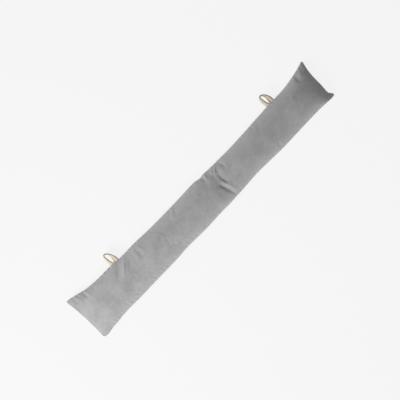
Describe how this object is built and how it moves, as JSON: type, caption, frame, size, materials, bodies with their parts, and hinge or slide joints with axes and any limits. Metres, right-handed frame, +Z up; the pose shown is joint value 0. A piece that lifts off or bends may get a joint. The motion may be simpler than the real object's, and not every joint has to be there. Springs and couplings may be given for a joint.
{
  "type": "draught excluder",
  "caption": "Long filled velvet cushion that lies along the foot of a door to keep draughts out, with cotton tape hanging loops sewn into its back seam.",
  "frame": {"origin": "on the floor under the flat of the back panel, midway between the ends and near the middle of the width", "axes": "+X along the length towards the end with the tucked front corner, +Y towards the seam with the hanging loops, +Z up from the floor"},
  "size_m": [0.9, 0.1558, 0.0701],
  "materials": {
    "velvet": "short cut-pile velvet, matt with a soft sheen along its folds",
    "cotton_tape": "plain woven cotton tape, matt"
  },
  "bodies": {
    "root": {"cover": "velvet", "loop_left": "cotton_tape", "loop_right": "cotton_tape"}
  },
  "joints": []
}
